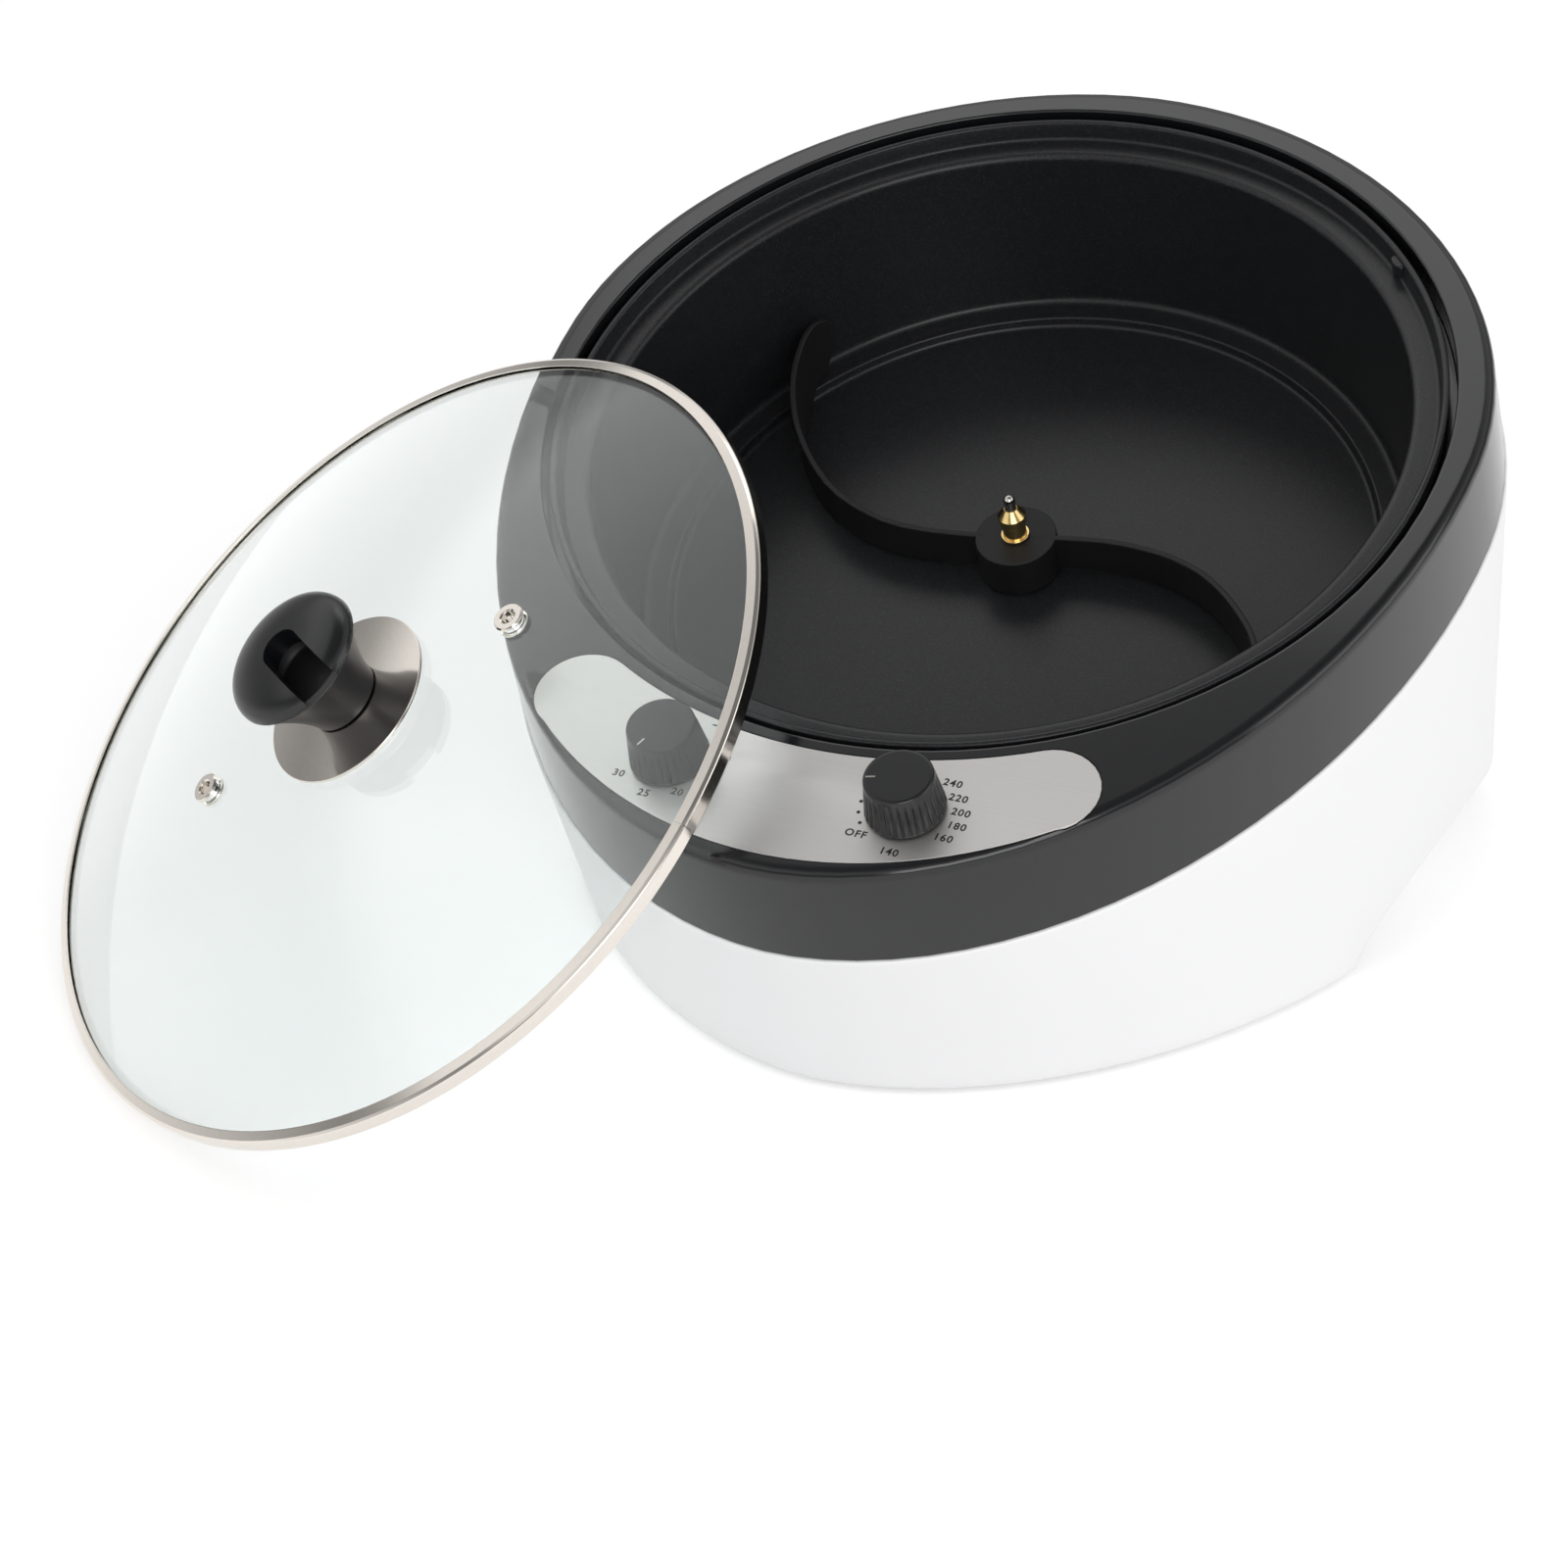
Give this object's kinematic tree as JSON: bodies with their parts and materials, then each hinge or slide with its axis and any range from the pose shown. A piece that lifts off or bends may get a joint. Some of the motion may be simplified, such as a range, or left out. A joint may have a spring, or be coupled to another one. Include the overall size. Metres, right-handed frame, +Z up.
{
  "type": "home coffee bean roaster",
  "caption": "Countertop bean roaster: egg-shaped housing with sloping top, round non-stick pot with turning S-shaped stirrer, dial knobs and a loose domed glass lid leaning on it.",
  "frame": {"origin": "on the flat underside of the bottom cover, straight below the middle of the pot's mouth; the feet reach 2.5 mm below it", "axes": "+Z up; -Y towards the dials at the front, where the sloping top is lowest; +X to the right as seen from the front"},
  "size_m": [0.3793, 0.376, 0.1753],
  "materials": {
    "white_shell": "satin white",
    "base_plastic": "matt light grey",
    "foot_rubber": "matt",
    "black_ring": "high gloss black",
    "panel_metal": "brushed",
    "non_stick": "speckled non-stick coating",
    "stirrer_black": "satin non-stick coating",
    "brass_nut": "turned",
    "bright_steel": "ground",
    "bush_bronze": "plain",
    "heater_steel": "oxidised",
    "shield_aluminium": "mill finish",
    "case_steel": "zinc plated",
    "gear_nylon": "natural nylon",
    "pinion_brass": "cut",
    "rotor_dark": "lacquered",
    "winding_copper": "enamelled windings",
    "dial_black": "gloss, fluted",
    "control_body": "plain",
    "terminal_white": "plain",
    "gland_black": "matt",
    "lid_glass": "clear, slightly green",
    "polished_steel": "polished",
    "knob_satin_black": "satin black",
    "knob_gloss_black": "gloss black",
    "washer_rubber": "matt"
  },
  "bodies": {
    "housing": {"base_shell": "white_shell", "bottom_cover": "base_plastic", "foot_rear_right": "foot_rubber", "foot_rear_left": "foot_rubber", "foot_front_left": "foot_rubber", "foot_front_right": "foot_rubber", "top_ring": "black_ring", "control_panel": "panel_metal", "roasting_pot": "non_stick", "shaft_bush": "bush_bronze", "heating_element": "heater_steel", "thermal_cutout": "bright_steel", "heat_shield": "shield_aluminium", "gear_case": "case_steel", "gear_case_cover": "case_steel", "middle_axle": "bright_steel", "motor_can": "case_steel", "motor_stator": "winding_copper", "timer_body": "control_body", "thermostat_body": "control_body", "terminal_block": "terminal_white", "cord_gland": "gland_black", "cover_screw_rear_right": "bright_steel", "cover_screw_rear_left": "bright_steel", "cover_screw_front_left": "bright_steel", "cover_screw_front_right": "bright_steel"},
    "stirrer": {"stirrer_blade": "stirrer_black", "stirrer_nut": "brass_nut", "drive_shaft": "bright_steel", "output_gear": "gear_nylon"},
    "middle_wheel": {"middle_gear": "gear_nylon", "middle_pinion": "pinion_brass"},
    "rotor": {"motor_rotor": "rotor_dark", "motor_pinion": "pinion_brass"},
    "timer_dial": {"timer_knob": "dial_black", "timer_shaft": "bright_steel"},
    "temperature_dial": {"temperature_knob": "dial_black", "temperature_shaft": "bright_steel"},
    "lid": {"lid_glass": "lid_glass", "lid_rim": "polished_steel", "lid_plate": "polished_steel", "lid_knob_base": "knob_satin_black", "lid_knob_cap": "knob_gloss_black", "lid_screw": "bright_steel", "lid_washer": "washer_rubber", "vent_eyelet_upper": "polished_steel", "vent_eyelet_lower": "polished_steel"}
  },
  "joints": [
    {"name": "stirrer_turn", "type": "hinge", "parent": "housing", "child": "stirrer", "pos_m": [0, 0.01734, 0.07676], "axis": [0, -0.289, 0.9573], "continuous": true},
    {"name": "middle_wheel_turn", "type": "hinge", "parent": "housing", "child": "middle_wheel", "pos_m": [-0.024, 0.02601, 0.04804], "axis": [0, -0.289, 0.9573], "continuous": true},
    {"name": "rotor_turn", "type": "hinge", "parent": "housing", "child": "rotor", "pos_m": [-0.014, 0.01232, 0.03346], "axis": [0, -0.289, 0.9573], "continuous": true},
    {"name": "timer_knob_turn", "type": "hinge", "parent": "housing", "child": "timer_dial", "pos_m": [-0.033, -0.13834, 0.09766], "axis": [0, -0.289, 0.9573], "range_deg": [-300, 0]},
    {"name": "temperature_knob_turn", "type": "hinge", "parent": "housing", "child": "temperature_dial", "pos_m": [0.033, -0.13834, 0.09766], "axis": [0, -0.289, 0.9573], "range_deg": [-280, 0]},
    {"name": "lid_lift", "type": "slide", "parent": "housing", "child": "lid", "axis": [-0.3431, -0.4919, 0.8002], "range_m": [0, 0.15]}
  ],
  "couplings": [
    {"joint": "middle_wheel_turn", "follows": "stirrer_turn", "ratio": -4},
    {"joint": "rotor_turn", "follows": "stirrer_turn", "ratio": 16}
  ]
}
